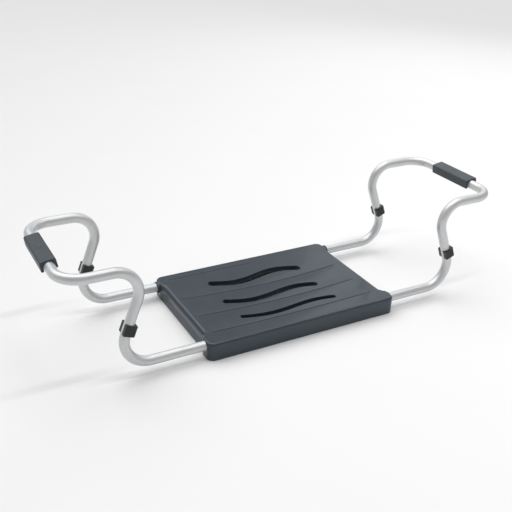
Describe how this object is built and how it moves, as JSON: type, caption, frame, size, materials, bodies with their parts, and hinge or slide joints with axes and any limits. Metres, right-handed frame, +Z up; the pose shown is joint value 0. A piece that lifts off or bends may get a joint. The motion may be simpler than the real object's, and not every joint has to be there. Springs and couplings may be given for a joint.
{
  "type": "bath transfer bench",
  "caption": "Width-adjustable suspended bath seat: a slotted moulded seat on two sliding bent-tube frames that hook over the bath rims.",
  "frame": {"origin": "on the plane of the seat's lower rim, under the middle of the whole object", "axes": "+X across the bath to the right, +Y to the rear of the seat, +Z up"},
  "size_m": [0.9419, 0.282, 0.2254],
  "materials": {
    "seat_plastic": "moulded, fine satin texture",
    "grip_plastic": "moulded, satin",
    "clip_plastic": "moulded, satin",
    "black_plastic": "moulded, satin",
    "tube_metal": "satin silver",
    "steel": "zinc plated",
    "brass": "turned"
  },
  "bodies": {
    "seat": {"seat_shell": "seat_plastic", "saddle_left_front": "steel", "insert_left_front": "brass", "saddle_left_rear": "steel", "insert_left_rear": "brass", "saddle_right_front": "steel", "insert_right_front": "brass", "saddle_right_rear": "steel", "insert_right_rear": "brass"},
    "frame_left": {"frame_left_tube": "tube_metal", "grip_left": "grip_plastic", "plug_left_front": "black_plastic", "plug_left_rear": "black_plastic"},
    "frame_right": {"frame_right_tube": "tube_metal", "grip_right": "grip_plastic", "plug_right_front": "black_plastic", "plug_right_rear": "black_plastic"},
    "clip_left_front": {"clip_left_front": "clip_plastic"},
    "clip_left_rear": {"clip_left_rear": "clip_plastic"},
    "clip_right_front": {"clip_right_front": "clip_plastic"},
    "clip_right_rear": {"clip_right_rear": "clip_plastic"},
    "knob_left_front": {"knob_left_front": "black_plastic", "stud_left_front": "steel"},
    "knob_left_rear": {"knob_left_rear": "black_plastic", "stud_left_rear": "steel"},
    "knob_right_front": {"knob_right_front": "black_plastic", "stud_right_front": "steel"},
    "knob_right_rear": {"knob_right_rear": "black_plastic", "stud_right_rear": "steel"}
  },
  "joints": [
    {"name": "frame_left_slide", "type": "slide", "parent": "seat", "child": "frame_left", "axis": [-1, 0, 0], "range_m": [-0.09, 0.015]},
    {"name": "frame_right_slide", "type": "slide", "parent": "seat", "child": "frame_right", "axis": [1, 0, 0], "range_m": [-0.09, 0.015]},
    {"name": "clip_left_front_swivel", "type": "hinge", "parent": "frame_left", "child": "clip_left_front", "pos_m": [-0.34925, -0.12, 0.09993], "axis": [0.355, 0, 0.9349], "continuous": true},
    {"name": "clip_left_rear_swivel", "type": "hinge", "parent": "frame_left", "child": "clip_left_rear", "pos_m": [-0.34925, 0.12, 0.09993], "axis": [0.355, 0, 0.9349], "continuous": true},
    {"name": "clip_right_front_swivel", "type": "hinge", "parent": "frame_right", "child": "clip_right_front", "pos_m": [0.34925, -0.12, 0.09993], "axis": [-0.355, 0, 0.9349], "continuous": true},
    {"name": "clip_right_rear_swivel", "type": "hinge", "parent": "frame_right", "child": "clip_right_rear", "pos_m": [0.34925, 0.12, 0.09993], "axis": [-0.355, 0, 0.9349], "continuous": true},
    {"name": "knob_left_front_turn", "type": "hinge", "parent": "seat", "child": "knob_left_front", "pos_m": [-0.1475, -0.096, 0.007], "axis": [0, 0, 1], "continuous": true},
    {"name": "knob_left_rear_turn", "type": "hinge", "parent": "seat", "child": "knob_left_rear", "pos_m": [-0.1475, 0.096, 0.007], "axis": [0, 0, 1], "continuous": true},
    {"name": "knob_right_front_turn", "type": "hinge", "parent": "seat", "child": "knob_right_front", "pos_m": [0.1525, -0.096, 0.007], "axis": [0, 0, 1], "continuous": true},
    {"name": "knob_right_rear_turn", "type": "hinge", "parent": "seat", "child": "knob_right_rear", "pos_m": [0.1525, 0.096, 0.007], "axis": [0, 0, 1], "continuous": true}
  ]
}
